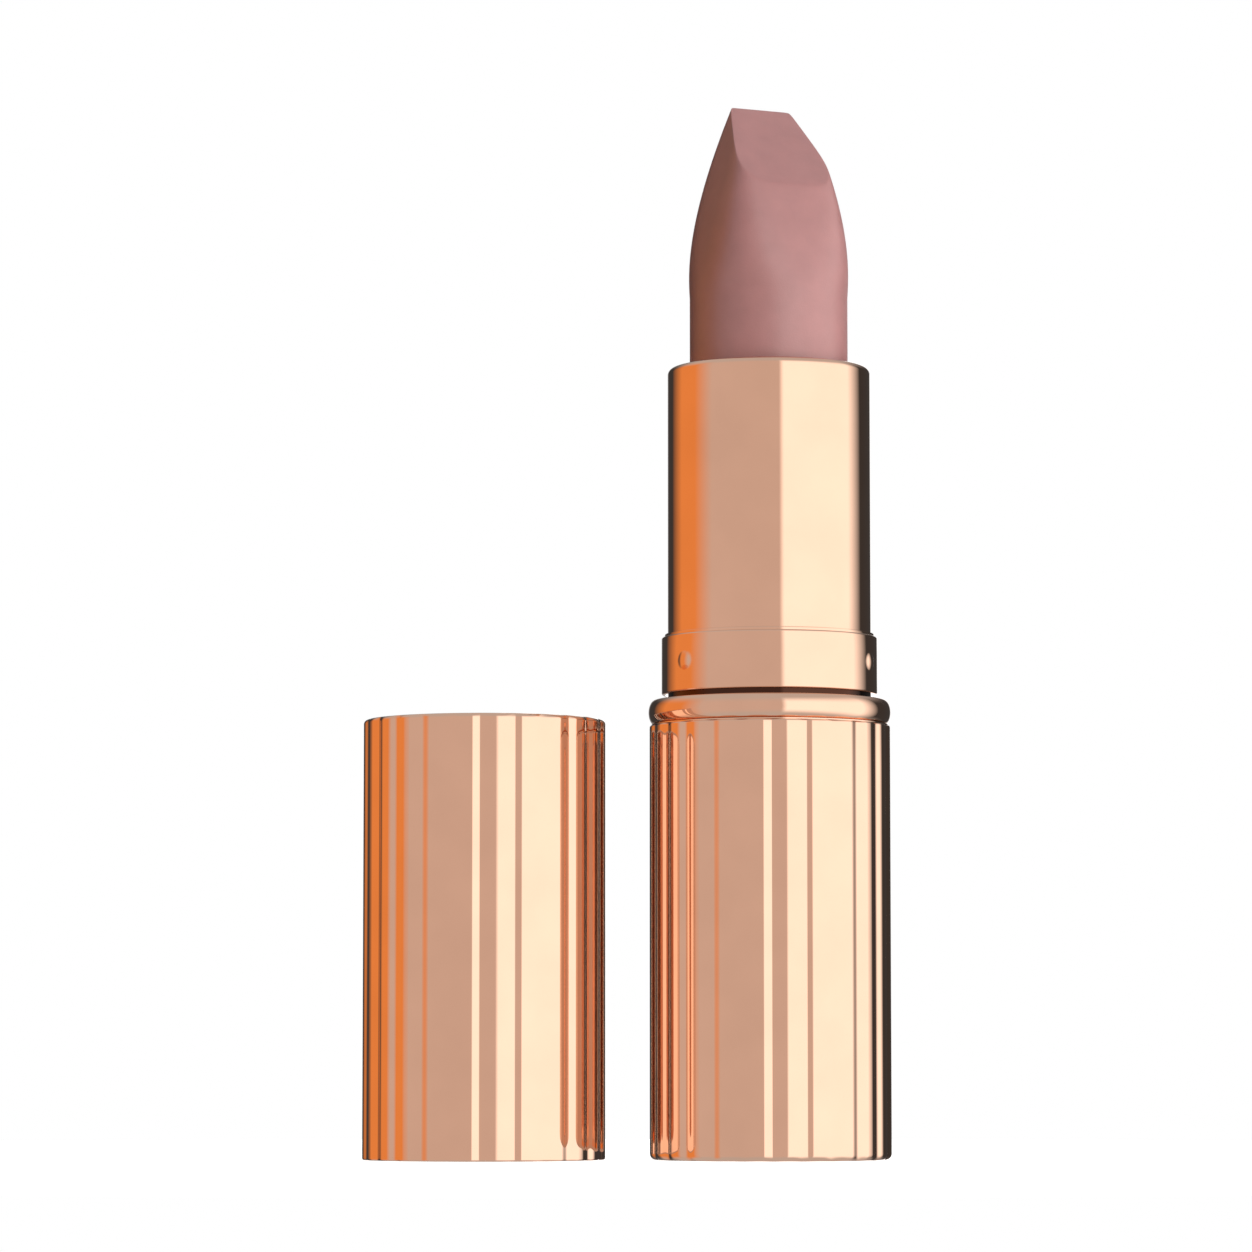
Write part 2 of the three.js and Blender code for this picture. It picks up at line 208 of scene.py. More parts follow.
class Colours(bpy.types.PropertyGroup):
    """Base colours of the finishes."""

    rose_gold: colour("Rose gold", (0.86, 0.565, 0.42), "Polished rose-gold plating")
    wax: colour("Wax", (0.49, 0.215, 0.21), "Moulded lipstick wax")
    label: colour("Label", (0.42, 0.17, 0.16), "Blank paper label")
    ivory: colour("Ivory", (0.80, 0.75, 0.67), "Moulded liner plastic")
    white: colour("White", (0.86, 0.85, 0.81), "Moulded gear plastic")
    rubber: colour("Rubber", (0.03, 0.03, 0.03), "Brake ring rubber")
    steel: colour("Steel", (0.47, 0.48, 0.49), "Turned steel weight")
    floor: colour("Floor", (0.9, 0.9, 0.9), "Pale floor")


# ---- Shaping ----


def turned(profile, segments, closed=False):
    """A profile of (radius, height) points turned once about the upright axis."""
    bm = bmesh.new()
    points = [bm.verts.new((0.0, -radius, height)) for radius, height in profile]
    lines = [bm.edges.new(pair) for pair in zip(points, points[1:])]
    if closed:
        lines.append(bm.edges.new((points[-1], points[0])))
    bmesh.ops.spin(
        bm,
        geom=points + lines,
        cent=(0, 0, 0),
        axis=(0, 0, 1),
        angle=math.tau,
        steps=segments,
        use_merge=True,
    )
    bmesh.ops.remove_doubles(bm, verts=bm.verts[:], dist=WELD)
    bmesh.ops.recalc_face_normals(bm, faces=bm.faces[:])
    return bm


def flat_radius(vert):
    """Distance of a point from the upright axis."""
    return math.hypot(vert.co.x, vert.co.y)


def round_rings(bm, rings, width, steps):
    """Round the ring edges that lie at these (radius, height) places."""

    def lies_on(edge, radius, height):
        return all(
            abs(flat_radius(v) - radius) < 10 * WELD and abs(v.co.z - height) < 10 * WELD for v in edge.verts
        )

    chosen = [e for e in bm.edges if any(lies_on(e, *ring) for ring in rings)]
    if not chosen:
        raise RuntimeError("no edge lies on the rings to round")
    bmesh.ops.bevel(
        bm,
        geom=chosen,
        offset=width,
        offset_type="OFFSET",
        segments=steps,
        profile=0.5,
        affect="EDGES",
        material=-1,
        clamp_overlap=True,
    )


def cut(bm, point, normal):
    """Add the edges where a plane crosses the mesh."""
    geometry = bm.verts[:] + bm.edges[:] + bm.faces[:]
    bmesh.ops.bisect_plane(bm, geom=geometry, plane_co=point, plane_no=normal, dist=WELD)


def cut_levels(bm, heights):
    """Add a level ring of edges at each height."""
    for height in heights:
        cut(bm, (0, 0, height), (0, 0, 1))


def spread(low, high, steps):
    """Evenly spaced values between two limits, both left out."""
    return [low + (high - low) * i / steps for i in range(1, steps)]


def ease(share):
    """A smooth step from 0 to 1."""
    share = min(1.0, max(0.0, share))
    return share * share * (3 - 2 * share)


def finish(bm, name, body, material, nodes, sharp=35):
    """Turn a bmesh into a piece that rides a body and stands for its CAD nodes."""
    for face in bm.faces:
        face.smooth = True
    mesh = bpy.data.meshes.new(name)
    bm.to_mesh(mesh)
    bm.free()
    mesh.set_sharp_from_angle(angle=math.radians(sharp))
    mesh.materials.append(material)
    piece = bpy.data.objects.new(name, mesh)
    bpy.context.scene.collection.objects.link(piece)
    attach(piece, body)
    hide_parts(*nodes)
    return piece


def press_flutes(bm, sizes, crest, bore, share):
    """Press the wave of flutes into a shell's outer wall, by a share from 0 to 1 at each point."""
    for vert in bm.verts:
        radius = flat_radius(vert)
        if radius < bore + WELD:
            continue
        angle = math.atan2(vert.co.x, -vert.co.y)
        wave = ((1 + math.cos(sizes.ribs * angle)) / 2) ** sizes.flute_power
        scale = 1 - sizes.flute_depth * wave * share(radius, vert.co.z) / radius
        vert.co.x *= scale
        vert.co.y *= scale


def press_flat(bm, point, normal, softness):
    """Press what stands above a plane down on to it, and leave a soft edge round the flat."""
    point, normal = Vector(point), Vector(normal).normalized()
    for step in (-3, -1.5, -0.75, -0.25, 0.25, 0.75, 1.5, 3):
        cut(bm, point + normal * softness * step, normal)
    for vert in bm.verts:
        above = (vert.co - point).dot(normal)
        pressed = (above - math.hypot(above, softness)) / 2
        vert.co += normal * (pressed - above)


# ---- Finishes ----


class Finish:
    """A material being put together: its shader, and the nodes that feed it."""

    def __init__(self, name):
        self.material = bpy.data.materials.new(name)
        self.material.use_nodes = True
        self.tree = self.material.node_tree
        self.shader = self.tree.nodes["Principled BSDF"]
        self.place = self.tree.nodes.new("ShaderNodeTexCoord").outputs["Object"]

    def set(self, **values):
        """Set sockets of the shader, such as base_color or roughness."""
        for key, value in values.items():
            socket = self.shader.inputs[key.replace("_", " ").title().replace("Ior", "IOR")]
            socket.default_value = (*value, 1.0) if key.endswith("color") else value

    def noise(self, scale, stretch=(1, 1, 1), detail=3.0):
        """Noise in the piece's own space, in features per metre, stretched along its axes."""
        mapping = self.tree.nodes.new("ShaderNodeMapping")
        mapping.inputs["Scale"].default_value = stretch
        self.tree.links.new(self.place, mapping.inputs["Vector"])
        node = self.tree.nodes.new("ShaderNodeTexNoise")
        node.inputs["Scale"].default_value = scale
        node.inputs["Detail"].default_value = detail
        self.tree.links.new(mapping.outputs["Vector"], node.inputs["Vector"])
        return node.outputs["Fac"]

    def spread(self, value, low, high, socket):
        """Map a value from about 0.3..0.7 to low..high and feed it to a socket."""
        node = self.tree.nodes.new("ShaderNodeMapRange")
        node.inputs["From Min"].default_value = 0.3
        node.inputs["From Max"].default_value = 0.7
        node.inputs["To Min"].default_value = low
        node.inputs["To Max"].default_value = high
        self.tree.links.new(value, node.inputs["Value"])
        self.tree.links.new(node.outputs["Result"], self.shader.inputs[socket])

    def tint(self, value, dark, light):
        """Vary the base colour between two colours."""
        ramp = self.tree.nodes.new("ShaderNodeValToRGB")
        ramp.color_ramp.elements[0].position = 0.3
        ramp.color_ramp.elements[0].color = (*dark, 1.0)
        ramp.color_ramp.elements[1].position = 0.7
        ramp.color_ramp.elements[1].color = (*light, 1.0)
        self.tree.links.new(value, ramp.inputs["Fac"])
        self.tree.links.new(ramp.outputs["Color"], self.shader.inputs["Base Color"])

    def bump(self, layers):
        """Bump from a list of (height value, depth in metres) layers."""
        normal = None
        for value, depth in layers:
            node = self.tree.nodes.new("ShaderNodeBump")
            node.inputs["Distance"].default_value = depth
            self.tree.links.new(value, node.inputs["Height"])
            if normal:
                self.tree.links.new(normal, node.inputs["Normal"])
            normal = node.outputs["Normal"]
        self.tree.links.new(normal, self.shader.inputs["Normal"])


def shade(value, factor):
    """A colour made darker or lighter."""
    return tuple(min(1.0, channel * factor) for channel in value)


def kept(name, build):
    """A material by name, built the first time that it is asked for."""
    return bpy.data.materials.get(name) or build(name)


def rose_gold(name):
    """Polished plating: mirror-like, with faint drawing lines up the wall and a few dull patches."""
    made = Finish(name)
    base = bpy.context.scene.lipstick_colours.rose_gold
    made.set(metallic=1.0)
    made.tint(made.noise(220.0, detail=2.0), shade(base, 0.97), shade(base, 1.02))
    made.spread(made.noise(900.0, (1, 1, 0.06)), 0.02, 0.06, "Roughness")
    return made.material


def gold_with_painted_neck_shade(name):
    """The plating, with painted shade: its base colour is dark below the collar's lower edge, where the tube
    enters the bead ring.
    """
    material = rose_gold(name)
    tree = material.node_tree
    shader = tree.nodes["Principled BSDF"]
    gold = shader.inputs["Base Color"].links[0].from_socket
    parts = tree.nodes.new("ShaderNodeSeparateXYZ")
    tree.links.new(tree.nodes["Texture Coordinate"].outputs["Object"], parts.inputs["Vector"])
    # Painted shade: every point of the plating below this height gets the dark neck colour.
    band = tree.nodes.new("ShaderNodeMath")
    band.operation = "LESS_THAN"
    band.inputs[1].default_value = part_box("snap_collar")[0].z + NECK_SHADE_REACH
    tree.links.new(parts.outputs["Z"], band.inputs[0])
    mix = tree.nodes.new("ShaderNodeMix")
    mix.data_type = "RGBA"
    tree.links.new(band.outputs["Value"], mix.inputs["Factor"])
    tree.links.new(gold, mix.inputs["A"])
    mix.inputs["B"].default_value = (*PAINTED_NECK_SHADE, 1.0)
    tree.links.new(mix.outputs["Result"], shader.inputs["Base Color"])
    return material


def wax(name):
    """Moulded wax: satin, slightly see-through, with fine specks and soft mottling."""
    made = Finish(name)
    base = bpy.context.scene.lipstick_colours.wax
    made.set(subsurface_weight=0.1, subsurface_scale=0.0003, sheen_weight=0.15, sheen_roughness=0.4)
    made.shader.inputs["Subsurface Radius"].default_value = (1.0, 0.45, 0.4)
    made.shader.inputs["Specular IOR Level"].default_value = 1.0
    made.tint(made.noise(500.0), shade(base, 0.95), shade(base, 1.05))
    made.spread(made.noise(1500.0), 0.3, 0.38, "Roughness")
    grain = made.noise(9000.0, detail=4.0)
    waves = made.noise(260.0, detail=2.0)
    made.bump([(grain, 0.000012), (waves, 0.00003)])
    return made.material


def moulded(name, base):
    """Smooth moulded plastic with a faint spark-eroded grain."""
    made = Finish(name)
    made.set(subsurface_weight=0.1, subsurface_scale=0.001)
    made.tint(made.noise(150.0), shade(base, 0.97), base)
    made.spread(made.noise(800.0), 0.34, 0.46, "Roughness")
    made.bump([(made.noise(7000.0), 0.000008)])
    return made.material


def paper(name):
    """Satin label paper with a fine fibre grain."""
    made = Finish(name)
    base = bpy.context.scene.lipstick_colours.label
    made.tint(made.noise(2500.0, (1, 0.3, 1)), shade(base, 0.93), shade(base, 1.05))
    made.spread(made.noise(1200.0), 0.42, 0.55, "Roughness")
    made.bump([(made.noise(6000.0, (1, 0.3, 1)), 0.00001)])
    return made.material


def rubber(name):
    """Soft matt rubber."""
    made = Finish(name)
    base = bpy.context.scene.lipstick_colours.rubber
    made.tint(made.noise(900.0), base, shade(base, 1.5))
    made.spread(made.noise(1500.0), 0.7, 0.85, "Roughness")
    made.bump([(made.noise(5000.0), 0.00001)])
    return made.material


def turned_steel(name):
    """Plain steel with the rings of the lathe."""
    made = Finish(name)
    base = bpy.context.scene.lipstick_colours.steel
    made.set(metallic=1.0)
    made.tint(made.noise(300.0), shade(base, 0.9), base)
    made.spread(made.noise(900.0, (0.05, 0.05, 1)), 0.25, 0.4, "Roughness")
    made.bump([(made.noise(3000.0, (0.02, 0.02, 1)), 0.000008)])
    return made.material


def ivory(name):
    """Ivory liner plastic."""
    return moulded(name, bpy.context.scene.lipstick_colours.ivory)


def white(name):
    """White gear plastic."""
    return moulded(name, bpy.context.scene.lipstick_colours.white)


# ---- The pieces ----


class LIPSTICK_OT_base_shell(bpy.types.Operator):
    """Build the base's fluted outer shell"""

    bl_idname = "lipstick.base_shell"
    bl_label = "Base shell"

    def execute(self, context):
        sizes = context.scene.lipstick_shells
        low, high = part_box("base_shell")
        crest, bore = sizes.base_radius, sizes.base_bore
        profile = [(bore, low.z), (crest, low.z), (crest, high.z), (bore, high.z)]
        bm = turned(profile, sizes.ribs * sizes.rib_points, closed=True)
        round_rings(bm, [(crest, low.z)], sizes.foot_round, 6)
        round_rings(bm, [(crest, high.z)], sizes.edge_round, 3)
        round_rings(bm, [(bore, low.z), (bore, high.z)], sizes.burr, 1)
        cut_levels(bm, spread(low.z + sizes.foot_round, high.z - sizes.edge_round, 8))
        foot_edge = crest - sizes.foot_round

        def share(radius, height):
            if height > low.z + sizes.foot_round:
                return 1.0
            return ease((radius - foot_edge) / sizes.foot_round)

        press_flutes(bm, sizes, crest, bore + sizes.burr, share)
        material = kept("rose_gold_plating", rose_gold)
        finish(bm, "fluted_base_shell", "base", material, ["base_shell"])
        return {"FINISHED"}


class LIPSTICK_OT_cap_shell(bpy.types.Operator):
    """Build the cap's fluted outer shell, closed on top"""

    bl_idname = "lipstick.cap_shell"
    bl_label = "Cap shell"

    def execute(self, context):
        sizes = context.scene.lipstick_shells
        low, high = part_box("cap_shell")
        crest, bore = sizes.cap_radius, sizes.cap_bore
        inside = high.z - sizes.cap_top
        profile = [(0, inside), (bore, inside), (bore, low.z), (crest, low.z), (crest, high.z), (0, high.z)]
        bm = turned(profile, sizes.ribs * sizes.rib_points)
        round_rings(bm, [(crest, high.z)], sizes.cap_round, 6)
        round_rings(bm, [(crest, low.z)], sizes.edge_round, 3)
        round_rings(bm, [(bore, low.z)], sizes.burr, 1)
        cut_levels(bm, spread(low.z + sizes.edge_round, inside, 8))
        top_edge = crest - sizes.cap_round

        def share(radius, height):
            if height < inside:
                return 1.0
            return ease((radius - top_edge) / sizes.cap_round)

        press_flutes(bm, sizes, crest, bore + sizes.burr, share)
        bmesh.ops.translate(bm, verts=bm.verts[:], vec=CAP_CENTRE)
        material = kept("rose_gold_plating", rose_gold)
        finish(bm, "fluted_cap_shell", "cap", material, ["cap_shell"])
        return {"FINISHED"}


class LIPSTICK_OT_foot(bpy.types.Operator):
    """Build the foot plate and the blank label let into it"""

    bl_idname = "lipstick.foot"
    bl_label = "Foot plate and label"

    def execute(self, context):
        sizes = context.scene.lipstick_shells
        plate_low, plate_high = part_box("foot_plate")
        label_low, label_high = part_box("shade_label")
        seat, edge = label_high.z, sizes.base_bore
        profile = [
            (0, seat),
            (sizes.label_edge, seat),
            (sizes.label_edge, plate_low.z),
            (edge, plate_low.z),
            (edge, plate_high.z),
            (0, plate_high.z),
        ]
        plate = turned(profile, 192)
        round_rings(plate, [(sizes.label_edge, plate_low.z), (edge, plate_low.z)], sizes.burr, 2)
        material = kept("rose_gold_plating", rose_gold)
        finish(plate, "plated_foot_plate", "base", material, ["foot_plate"])
        radius = sizes.label_radius
        profile = [(0, label_low.z), (radius, label_low.z), (radius, label_high.z), (0, label_high.z)]
        label = turned(profile, 192)
        round_rings(label, [(radius, label_low.z)], sizes.burr, 2)
        finish(label, "blank_label", "base", kept("label_paper", paper), ["shade_label"])
        return {"FINISHED"}


class LIPSTICK_OT_bead_ring(bpy.types.Operator):
    """Build the half-round bead between the base and the tube"""

    bl_idname = "lipstick.bead_ring"
    bl_label = "Bead ring"

    def execute(self, context):
        sizes = context.scene.lipstick_shells
        low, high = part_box("bead_ring")
        bore = context.scene.lipstick_tube.tube_radius + BEAD_CLEAR
        edge = high.x - sizes.bead_depth
        groove = sizes.base_radius - sizes.flute_depth
        step = low.z + sizes.bead_step
        half = (high.z - step) / 2
        bead = []
        for i in range(25):
            angle = math.pi * (i / 24 - 0.5)
            bead.append((edge + sizes.bead_depth * math.cos(angle), step + half * (1 + math.sin(angle))))
        profile = [(bore, low.z), (groove, low.z), (groove, step), *bead, (bore, high.z)]
        bm = turned(profile, 288, closed=True)
        material = kept("rose_gold_plating", rose_gold)
        finish(bm, "half_round_bead_ring", "base", material, ["bead_ring"])
        return {"FINISHED"}


class LIPSTICK_OT_tube_shell(bpy.types.Operator):
    """Build the polished tube with its curled lip and rolled lower edge"""

    bl_idname = "lipstick.tube_shell"
    bl_label = "Tube shell"

    def execute(self, context):
        sizes = context.scene.lipstick_tube
        low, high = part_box("tube_shell")
        flange, shoulder = high.x, low.z + sizes.flange_height
        lip_bottom = high.z - 2 * sizes.lip_round
        profile = [
            (sizes.tube_bore, low.z),
            (flange, low.z),
            (flange, shoulder),
            (sizes.tube_radius, shoulder),
            (sizes.tube_radius, high.z),
            (sizes.lip_bore, high.z),
            (sizes.lip_bore, lip_bottom),
            (sizes.tube_bore, lip_bottom - sizes.lip_round),
        ]
        bm = turned(profile, 288, closed=True)
        round_rings(bm, [(sizes.tube_radius, high.z), (sizes.lip_bore, high.z)], sizes.lip_round, 8)
        round_rings(bm, [(flange, low.z), (flange, shoulder)], FLANGE_ROUND, 2)
        cut_levels(bm, spread(shoulder, lip_bottom, 8))
        # The plating, with painted shade on the neck below the collar.
        material = kept("necked_gold_plating", gold_with_painted_neck_shade)
        finish(bm, "polished_tube", "swivel_tube", material, ["tube_shell"])
        return {"FINISHED"}


class LIPSTICK_OT_snap_collar(bpy.types.Operator):
    """Build the collar that the cap clicks on to, with its step and round nubs"""

    bl_idname = "lipstick.snap_collar"
    bl_label = "Snap collar"

    def execute(self, context):
        sizes = context.scene.lipstick_tube
        low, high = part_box("snap_collar")
        bore, outer = sizes.tube_radius, sizes.tube_radius + COLLAR_WALL
        step_radius, shoulder = bore + sizes.collar_step, high.z - sizes.collar_step
        profile = [
            (bore, low.z),
            (outer, low.z),
            (outer, shoulder),
            (step_radius, shoulder),
            (step_radius, high.z),
            (bore, high.z),
        ]
        bm = turned(profile, 360, closed=True)
        round_rings(bm, [(outer, low.z), (outer, shoulder)], COLLAR_ROUND, 4)
        round_rings(bm, [(step_radius, high.z)], STEP_ROUND, 2)
        middle = low.z + sizes.nub_up
        reach = sizes.nub_radius * 1.1
        cut_levels(bm, [middle - reach, *spread(middle - reach, middle + reach, 20), middle + reach])
        for i in range(sizes.nubs):
            angle = sizes.nub_angle + math.tau * i / sizes.nubs
            nub = Vector((outer * math.sin(angle), -outer * math.cos(angle), middle))
            for vert in bm.verts:
                away = (vert.co - nub).length / sizes.nub_radius
                if away < 1 and flat_radius(vert) > outer - WELD:
                    scale = 1 + sizes.nub_proud * (1 - away**2) / outer
                    vert.co.x *= scale
                    vert.co.y *= scale
        material = kept("rose_gold_plating", rose_gold)
        finish(bm, "nubbed_collar", "swivel_tube", material, ["snap_collar"])
        return {"FINISHED"}


class LIPSTICK_OT_guide_tube(bpy.types.Operator):
    """Build the white guide tube with its two upright slots"""

    bl_idname = "lipstick.guide_tube"
    bl_label = "Guide tube"

    def execute(self, context):
        sizes = context.scene.lipstick_tube
        low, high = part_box("guide_tube")
        flange, ledge = high.x, low.z + sizes.guide_flange
        profile = [
            (sizes.guide_bore, low.z),
            (flange, low.z),
            (flange, ledge),
            (sizes.guide_radius, ledge),
            (sizes.guide_radius, high.z),
            (sizes.guide_bore, high.z),
        ]
        bm = turned(profile, 192, closed=True)
        round_rings(bm, [(sizes.guide_radius, high.z), (sizes.guide_bore, high.z)], GUIDE_ROUND, 2)
        slot_top = high.z - sizes.slot_end
        slot_bottom = slot_top - sizes.slot_length
        cut_levels(bm, [slot_bottom, slot_top])
        for side in (-1, 1):
            cut(bm, (0, side * sizes.slot_half, 0), (0, 1, 0))

        def in_slot(face):
            middle = face.calc_center_median()
            return abs(middle.y) < sizes.slot_half and slot_bottom < middle.z < slot_top

        bmesh.ops.delete(bm, geom=[face for face in bm.faces if in_slot(face)], context="FACES")
        for side in (-1, 1):
            rims = [e for e in bm.edges if e.is_boundary and e.verts[0].co.x * side > 0]
            bmesh.ops.bridge_loops(bm, edges=rims)
        material = kept("white_plastic", white)
        finish(bm, "slotted_guide_tube", "base", material, ["guide_tube"])
        return {"FINISHED"}


class LIPSTICK_OT_cap_liner(bpy.types.Operator):
    """Build the cap's liner with its lead-in and snap groove"""

    bl_idname = "lipstick.cap_liner"
    bl_label = "Cap liner"

    def execute(self, context):
        sizes = context.scene.lipstick_tube
        low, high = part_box("cap_liner")
        outer, bore = context.scene.lipstick_shells.cap_bore, sizes.liner_bore
        inside = high.z - sizes.liner_top
        middle, half, depth = sizes.groove_up, sizes.groove_half, sizes.groove_depth
        profile = [
            (0, inside),
            (bore, inside),
            (bore, middle + half + depth),
            (bore + depth, middle + half),
            (bore + depth, middle - half),
            (bore, middle - half - depth),
            (bore, low.z + LINER_LEAD_IN),
            (bore + LINER_LEAD_IN, low.z),
            (outer, low.z),
            (outer, high.z),
            (0, high.z),
        ]
        bm = turned(profile, 192)
        round_rings(bm, [(bore, inside)], LINER_ROUND, 5)
        bmesh.ops.translate(bm, verts=bm.verts[:], vec=CAP_CENTRE)
        material = kept("ivory_plastic", ivory)
        finish(bm, "grooved_cap_liner", "cap", material, ["cap_liner"])
        return {"FINISHED"}


class LIPSTICK_OT_bullet(bpy.types.Operator):
    """Build the moulded bullet with its tapered nose and slanted face"""

    bl_idname = "lipstick.bullet"
    bl_label = "Bullet"

    def execute(self, context):
        sizes = context.scene.lipstick_bullet
        low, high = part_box("lipstick_bullet")
        radius, shoulder = sizes.radius, high.z - sizes.nose
        rings = [shoulder + (sizes.nose + BULLET_SPARE) * i / 64 for i in range(65)]
        profile = [(0, low.z), (radius, low.z), *[(radius, z) for z in rings], (0, rings[-1])]
        bm = turned(profile, 256)
        round_rings(bm, [(radius, low.z)], BULLET_FOOT_ROUND, 3)
        for vert in bm.verts:
            share = (vert.co.z - shoulder) / sizes.nose
            if share <= 0 or flat_radius(vert) < WELD:
                continue
            x, y = vert.co.x / radius, vert.co.y / radius
            power = 2 + (sizes.squareness - 2) * share**sizes.square_power
            reach = (abs(x) ** power + abs(y) ** power) ** (-1 / power)
            wide = radius - (radius - sizes.tip_wide) * share**sizes.wide_power
            thick = radius - (radius - sizes.tip_thick) * share**sizes.thick_power
            vert.co.x = x * reach * wide
            vert.co.y = y * reach * thick
        press_flat(bm, (0, 0, high.z), (0, 0, 1), sizes.crown)
        slope = (0, -math.sin(sizes.slant), math.cos(sizes.slant))
        press_flat(bm, (0, sizes.slant_start, high.z), slope, sizes.edge)
        bmesh.ops.rotate(bm, cent=(0, 0, 0), matrix=Matrix.Rotation(sizes.turn, 3, "Z"), verts=bm.verts[:])
        material = kept("satin_wax", wax)
        finish(bm, "slanted_bullet", "carrier", material, ["lipstick_bullet"], sharp=80)
        return {"FINISHED"}


class LIPSTICK_OT_inner_finishes(bpy.types.Operator):
    """Give the inner working pieces their finishes"""

    bl_idname = "lipstick.inner_finishes"
    bl_label = "Inner pieces"

    def execute(self, context):
        finishes = {
            "base_weight": ("turned_steel", turned_steel),
            "base_liner": ("ivory_plastic", ivory),
            "cam_sleeve": ("white_plastic", white),
            "carrier_cup": ("white_plastic", white),
            "brake_ring": ("brake_rubber", rubber),
        }
        for node, (name, build) in finishes.items():
            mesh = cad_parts[node].data
            mesh.materials.clear()
            mesh.materials.append(kept(name, build))
        return {"FINISHED"}


# ---- The stage ----

# The studio's light cards, as linear light.
KEY = (1.5, 1.45, 1.4)  # large soft box on the right
FILL = (0.7, 0.6, 0.55)  # wide, weaker panel in front
WARM = (0.9, 0.35, 0.1)  # warm card on the left
WALL = (0.5, 0.5, 0.5)  # pale wall behind
DARK = (0.05, 0.05, 0.05)  # black flags behind, left and right

# Where the cards stand round the object, by angle from the camera towards +X in degrees.
STUDIO = (
    (-180, WALL),
    (-165, DARK),
    (-145, DARK),
    (-120, WARM),
    (-95, WARM),
    (-70, FILL),
    (10, FILL),
    (15, KEY),
    (100, KEY),
    (125, DARK),
    (165, DARK),
    (180, WALL),
)
# The same for the soft light that stands well above or below the object.
SOFT_KEY = (2.5, 2.45, 2.4)
SOFT_EDGE = (0.6, 0.6, 0.6)
NO_LIGHT = (0.0, 0.0, 0.0)
OVERHEAD = (
    (-180, WALL),
    (-165, NO_LIGHT),
    (-30, NO_LIGHT),
    (0, SOFT_EDGE),
    (15, SOFT_KEY),
    (45, SOFT_KEY),
    (70, SOFT_EDGE),
    (180, WALL),
)
BRIGHTEST = 2.5
FROM_AFAR = (0.6, 0.6, 0.6)  # what a mirror sees high above and far below
SOFT_FADE = (0.1, 0.25)  # height of a direction over which soft light leaves the level ring
MIRROR_FADE = (0.25, 0.8)  # the same for what a mirror sees
TOP_FADE = (0.3, 0.9)  # height over which soft light from above grows weaker
TOP_SHARE = 0.25


def studio_light(world):
    """Soft light that changes with direction round the object, in front of a plain white backdrop."""
    world.use_nodes = True
    tree = world.node_tree
    tree.nodes.clear()
    new, link = tree.nodes.new, tree.links.new
    place = new("ShaderNodeTexCoord").outputs["Generated"]
    parts = new("ShaderNodeSeparateXYZ")
    link(place, parts.inputs["Vector"])
    towards = new("ShaderNodeMath")
    towards.operation = "MULTIPLY"
    towards.inputs[1].default_value = -1
    link(parts.outputs["Y"], towards.inputs[0])
    angle = new("ShaderNodeMath")
    angle.operation = "ARCTAN2"
    link(parts.outputs["X"], angle.inputs[0])
    link(towards.outputs["Value"], angle.inputs[1])
    turn = new("ShaderNodeMapRange")
    turn.inputs["From Min"].default_value = -math.pi
    turn.inputs["From Max"].default_value = math.pi
    link(angle.outputs["Value"], turn.inputs["Value"])

    def ring(lights):
        ramp = new("ShaderNodeValToRGB")
        stops = ramp.color_ramp.elements
        for i, (degrees, light) in enumerate(lights):
            place_on_ramp = (degrees + 180) / 360
            stop = stops[i] if i < 1 else stops.new(place_on_ramp)
            stop.position = place_on_ramp
            stop.color = (*[channel / BRIGHTEST for channel in light], 1.0)
        stops.remove(stops[-1])
        link(turn.outputs["Result"], ramp.inputs["Fac"])
        return ramp.outputs["Color"]

    height = new("ShaderNodeMath")
    height.operation = "ABSOLUTE"
    link(parts.outputs["Z"], height.inputs[0])
    level = ring(STUDIO)

    def faded(low, high):
        """The level ring's light, mixed by height with what is set or linked as the second colour."""
        fall = new("ShaderNodeMapRange")
        fall.interpolation_type = "SMOOTHSTEP"
        fall.inputs["From Min"].default_value = low
        fall.inputs["From Max"].default_value = high
        link(height.outputs["Value"], fall.inputs["Value"])
        fade = new("ShaderNodeMix")
        fade.data_type = "RGBA"
        link(fall.outputs["Result"], fade.inputs["Factor"])
        link(level, fade.inputs["A"])
        return fade

    soft = faded(*SOFT_FADE)
    link(ring(OVERHEAD), soft.inputs["B"])
    mirrored = faded(*MIRROR_FADE)
    mirrored.inputs["B"].default_value = (*[channel / BRIGHTEST for channel in FROM_AFAR], 1.0)
    rays = new("ShaderNodeLightPath")
    glossy = rays.outputs["Is Glossy Ray"]
    both = new("ShaderNodeMix")
    both.data_type = "RGBA"
    link(glossy, both.inputs["Factor"])
    link(soft.outputs["Result"], both.inputs["A"])
    link(mirrored.outputs["Result"], both.inputs["B"])
    top = new("ShaderNodeMapRange")
    top.inputs["From Min"].default_value = TOP_FADE[0]
    top.inputs["From Max"].default_value = TOP_FADE[1]
    top.inputs["To Min"].default_value = 1.0
    top.inputs["To Max"].default_value = TOP_SHARE
    link(parts.outputs["Z"], top.inputs["Value"])
    least = new("ShaderNodeMath")
    least.operation = "MAXIMUM"
    link(top.outputs["Result"], least.inputs[0])
    link(glossy, least.inputs[1])
    strength = new("ShaderNodeMath")
    strength.operation = "MULTIPLY"
    strength.inputs[1].default_value = BRIGHTEST
    link(least.outputs["Value"], strength.inputs[0])
    studio = new("ShaderNodeBackground")
    link(strength.outputs["Value"], studio.inputs["Strength"])
    link(both.outputs["Result"], studio.inputs["Color"])
    backdrop = new("ShaderNodeBackground")
    backdrop.inputs["Color"].default_value = (1.0, 1.0, 1.0, 1.0)
    mix = new("ShaderNodeMixShader")
    link(rays.outputs["Is Camera Ray"], mix.inputs["Fac"])
    link(studio.outputs["Background"], mix.inputs[1])
    link(backdrop.outputs["Background"], mix.inputs[2])
    link(mix.outputs["Shader"], new("ShaderNodeOutputWorld").inputs["Surface"])


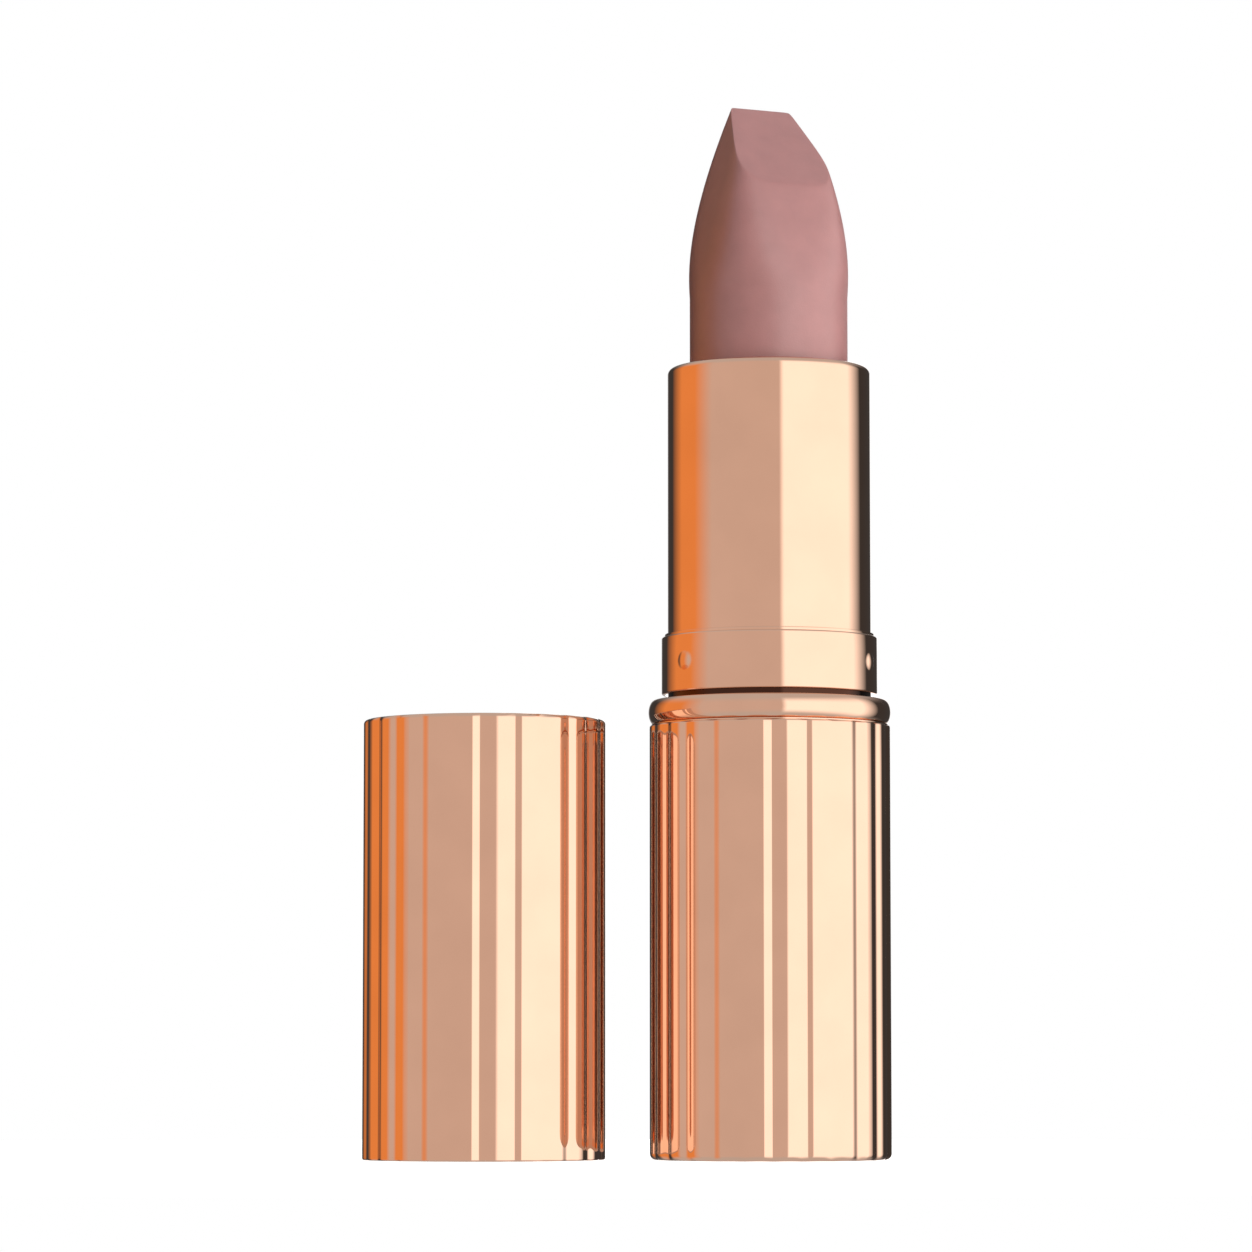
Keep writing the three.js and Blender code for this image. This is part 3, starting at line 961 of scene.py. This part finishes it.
def pale_floor(name):
    """A plain pale floor that is nearly as light as the backdrop."""
    made = Finish(name)
    base = bpy.context.scene.lipstick_colours.floor
    made.set(roughness=0.9, emission_strength=FLOOR_GLOW, emission_color=(1.0, 1.0, 1.0))
    made.shader.inputs["Specular IOR Level"].default_value = 0.1
    made.tint(made.noise(60.0), shade(base, 0.99), base)
    return made.material


class LIPSTICK_OT_stage(bpy.types.Operator):
    """Set up the floor, the light and the camera"""

    bl_idname = "lipstick.stage"
    bl_label = "Stage"

    def execute(self, context):
        scene = context.scene
        low, high = frame_box
        middle = (low.x + high.x) / 2
        bm = bmesh.new()
        bmesh.ops.create_circle(bm, cap_ends=True, segments=128, radius=FLOOR_RADIUS)
        bmesh.ops.translate(bm, verts=bm.verts[:], vec=(middle, 0, low.z))
        mesh = bpy.data.meshes.new("floor")
        bm.to_mesh(mesh)
        bm.free()
        mesh.materials.append(kept("pale_floor", pale_floor))
        floor = bpy.data.objects.new("floor", mesh)
        scene.collection.objects.link(floor)
        floor.visible_glossy = False
        floor.visible_diffuse = False

        scene.world = bpy.data.worlds.new("studio")
        studio_light(scene.world)
        scene.view_settings.view_transform = "Standard"

        lens = bpy.data.cameras.new("camera")
        lens.lens = LENS
        camera = bpy.data.objects.new("camera", lens)
        scene.collection.objects.link(camera)
        camera.location = EYE
        camera.rotation_euler = (EYE_PITCH, 0, 0)
        scene.camera = camera
        return {"FINISHED"}


class LIPSTICK_PT_case(bpy.types.Panel):
    """Lists the pieces of the case"""

    bl_idname = "LIPSTICK_PT_case"
    bl_label = "Lipstick case"
    bl_space_type = "VIEW_3D"
    bl_region_type = "UI"
    bl_category = "Lipstick"

    def draw(self, context):
        for operator in OPERATORS:
            self.layout.operator(operator.bl_idname)
        for group in ("lipstick_shells", "lipstick_tube", "lipstick_bullet", "lipstick_colours"):
            settings = getattr(context.scene, group)
            box = self.layout.box()
            for key in settings.__annotations__:
                box.prop(settings, key)


GROUPS = {
    "lipstick_shells": ShellSizes,
    "lipstick_tube": TubeSizes,
    "lipstick_bullet": BulletSizes,
    "lipstick_colours": Colours,
}
OPERATORS = (
    LIPSTICK_OT_base_shell,
    LIPSTICK_OT_foot,
    LIPSTICK_OT_bead_ring,
    LIPSTICK_OT_guide_tube,
    LIPSTICK_OT_tube_shell,
    LIPSTICK_OT_snap_collar,
    LIPSTICK_OT_bullet,
    LIPSTICK_OT_cap_shell,
    LIPSTICK_OT_cap_liner,
    LIPSTICK_OT_inner_finishes,
    LIPSTICK_OT_stage,
)


def register():
    for group in (*GROUPS.values(), *OPERATORS, LIPSTICK_PT_case):
        bpy.utils.register_class(group)
    for name, group in GROUPS.items():
        setattr(bpy.types.Scene, name, PointerProperty(type=group))


def unregister():
    for name in GROUPS:
        delattr(bpy.types.Scene, name)
    for group in (LIPSTICK_PT_case, *reversed(OPERATORS), *GROUPS.values()):
        bpy.utils.unregister_class(group)


def main():
    register()
    for operator in OPERATORS:
        module, name = operator.bl_idname.split(".")
        getattr(getattr(bpy.ops, module), name)()


if __name__ == "__main__":
    main()
